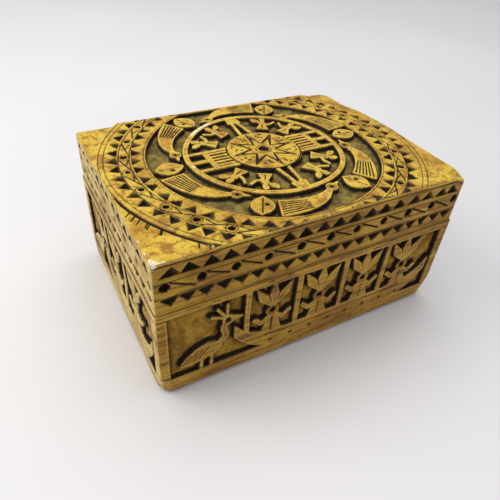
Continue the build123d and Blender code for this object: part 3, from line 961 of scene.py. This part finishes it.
def lid_board():
    """Top sheet and four side sheets that share their edges, and a plain underside."""
    xs = spaced(-LID_LENGTH / 2, LID_LENGTH / 2, TOP_STEP)
    ys = spaced(-LID_DEPTH / 2, LID_DEPTH / 2, TOP_STEP)
    relief = Relief.on_grid(xs, ys)
    carve_board_top(relief)
    depth, stain_and_shading = relief.finish(2.1, 0.58, 0.15, 0.5, 400)
    edge = np.minimum(LID_LENGTH / 2 - np.abs(relief.u), LID_DEPTH / 2 - np.abs(relief.v))
    depth *= ramp(edge / 1.0)
    solid = Solid()
    values = np.stack([depth, stain_and_shading, np.zeros_like(depth), relief.bare_and_glint], -1)
    solid.sheet(np.stack([relief.u, relief.v, BOARD_TOP - depth], -1), values)
    zs = spaced(BOARD_UNDER, BOARD_TOP)
    grids = {"front": xs, "right": ys, "back": xs, "left": ys}
    corners = [board_side(solid, side, i, grids[side], zs) for i, side in enumerate(SIDES)]
    solid.fan(corners[::-1], 1)
    piece = solid.build("lid_board_carving", skins["front"], soften_board)
    settle(piece, "lid", "lid_top_board")


def carve_star(relief):
    """An eight-rayed star in incised double lines, with punched dots between its rays."""
    dice = np.random.default_rng(71)
    for i in range(8):
        tip = 45 * i + 4
        for low, high in ((4.9, 13.4), (4.9, 10.4)):
            middle = polar(high, tip, CENTRE)
            relief.line([polar(low, tip - 22.5, CENTRE), middle], 0.8, 0.6)
            relief.line([middle, polar(low, tip + 22.5, CENTRE)], 0.8, 0.6)
        for _ in range(5):
            x, y = polar(dice.uniform(8.4, 13.6), tip + 22.5 + dice.uniform(-8, 8), CENTRE)
            relief.pit(x, y, 0.5, 0.55)


def medallion():
    """The sun disc, with its star and a hole in the middle."""
    hole, rim = STAR_HOLE, MEDALLION
    rings = np.linspace(hole + 0.55, rim - 0.5, 62)
    radii = np.concatenate([[hole, hole + 0.12, hole + 0.3], rings, [rim - 0.3, rim - 0.12, rim]])
    angles = np.linspace(0, 2 * math.pi, 361)
    r, a = np.meshgrid(radii, -angles, indexing="ij")
    relief = Relief(CENTRE[0] + r * np.cos(a), CENTRE[1] + r * np.sin(a))
    carve_star(relief)
    relief.round_line(r, 3.1, 0.6, 0.4)
    depth, stain_and_shading = relief.finish(0.0, 0.6, 0.0, 1.0, 500)
    # painted shade down into the middle hole, and painted shadow along the disc's outer rim
    stain_and_shading = np.maximum(stain_and_shading, ramp((2.5 - r) / 0.5))
    stain_and_shading = np.maximum(stain_and_shading, ramp((r - (rim - 0.35)) / 0.3))
    depth += 0.5 * ramp((r - (rim - 0.9)) / 0.9) ** 2 + 0.35 * ramp((hole + 0.5 - r) / 0.5) ** 2
    depth[:, -1] = depth[:, 0]
    stain_and_shading[:, -1] = stain_and_shading[:, 0]
    plain = np.zeros_like(depth)
    points = np.stack([relief.u, relief.v, MEDALLION_HIGH[2] - depth], -1)
    points[:, -1] = points[:, 0]
    solid = Solid()
    solid.sheet(points, np.stack([depth * 0.4, stain_and_shading, plain, plain], -1))
    for row, order in ((0, (0, 1)), (-1, (1, 0))):
        lower = points[row].copy()
        lower[:, 2] = MEDALLION_LOW[2]
        wall = np.stack([lower, points[row]])[list(order)]
        # the hole's wall and the disc's outer wall painted full dark: painted shade in the hole, painted
        # shadow under the rim
        solid.sheet(wall, np.tile((1.2, 1.0, 0.0, 0.0), wall.shape[:2] + (1,)))
    rings = np.stack([points[-1], points[0]])
    rings[:, :, 2] = MEDALLION_LOW[2]
    solid.sheet(rings, np.zeros(rings.shape[:2] + (4,)), 1)
    piece = solid.build("sun_medallion_carving", skins["front"])
    settle(piece, "dial", "sun_medallion")


def dress(nodes, material):
    """Give carried-over CAD nodes a material."""
    for name in nodes:
        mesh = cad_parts[name].data
        mesh.materials.clear()
        mesh.materials.append(material)


def inner_pieces():
    lining = (colour(186, 146, 92), colour(148, 106, 60))
    hard = (colour(150, 96, 56), colour(104, 62, 36))
    dowel = (colour(206, 172, 118), colour(176, 138, 86))
    dress(["lining_front", "lining_back", "base_bottom_board"], plain_wood("lining_wood_x", *lining, 0))
    dress(["lining_left", "lining_right"], plain_wood("lining_wood_y", *lining, 1))
    sliding = ["left_bolt", "right_bolt", "left_bolt_guide", "right_bolt_guide"]
    dress(sliding, plain_wood("lock_wood_x", *hard, 0, 0.5))
    dress(["scroll_cam"], plain_wood("cam_wood_y", *hard, 1, 0.5))
    dress(["left_follower_pin", "right_follower_pin"], plain_wood("dowel_wood_z", *dowel, 2))
    dress(["dial_spindle"], plain_wood("spindle_wood_z", colour(66, 50, 32), colour(34, 25, 15), 2))
    dress(["cam_cross_pin"], plain_wood("dowel_wood_y", *dowel, 1))
    dress(["guide_screws"], brass())


# ---------------------------------------------------------------- floor, light and camera
def pale_floor():
    bpy.ops.mesh.primitive_plane_add(size=6.0, location=(0, 0, -0.0002))
    floor = bpy.context.object
    floor.name = "floor"
    n = Nodes("floor_white")
    patch = n.noise(3, detail=2)
    pale = n.mix(n.between(patch, 0.3, 0.7), colour(218, 216, 216), colour(224, 222, 221))
    n.link(pale, n.shader.inputs["Base Color"])
    n.shader.inputs["Roughness"].default_value = 0.55
    floor.data.materials.append(n.material)


def studio_light():
    """An even pale sky, and two soft lamps aimed at the box."""
    world = bpy.data.worlds.new("studio")
    bpy.context.scene.world = world
    world.use_nodes = True
    sky = world.node_tree.nodes["Background"]
    sky.inputs["Color"].default_value = (0.93, 0.95, 1.0, 1)
    sky.inputs["Strength"].default_value = 0.62
    for name, place, size, power, tint in (
        ("window", (-0.55, 0.25, 0.55), 0.5, 3.4, (1.0, 0.98, 0.95)),
        ("overhead", (0.1, 0.15, 0.8), 0.8, 3.0, (1.0, 0.99, 0.97)),
    ):
        lamp = bpy.data.lights.new(name, "AREA")
        lamp.size = size
        lamp.energy = power
        lamp.color = tint
        holder = bpy.data.objects.new(name, lamp)
        holder.location = place
        aim = Vector((0, 0, 0.03)) - Vector(place)
        holder.rotation_euler = aim.to_track_quat("-Z", "Y").to_euler()
        bpy.context.scene.collection.objects.link(holder)


def camera():
    """Close, from the front left and above, as a phone is held."""
    lens = bpy.data.cameras.new("camera")
    lens.sensor_width = 36.0
    lens.lens = 33.8
    lens.clip_start = 0.01
    holder = bpy.data.objects.new("camera", lens)
    forward = Vector((0.4007, 0.6606, -0.6348)).normalized()
    level = forward.cross(Vector((0, 0, 1))).normalized()
    roll = math.radians(4.45)
    right = level * math.cos(roll) + level.cross(forward) * math.sin(roll)
    up = right.cross(forward)
    turn = Matrix((right, up, -forward)).transposed().to_4x4()
    holder.matrix_world = Matrix.Translation(Vector((-91.47, -144.31, 152.64)) * MM) @ turn
    bpy.context.scene.collection.objects.link(holder)
    bpy.context.scene.camera = holder
    bpy.context.scene.view_settings.view_transform = "Standard"


base_walls()
lid_rails()
lid_board()
medallion()
inner_pieces()
pale_floor()
studio_light()
camera()
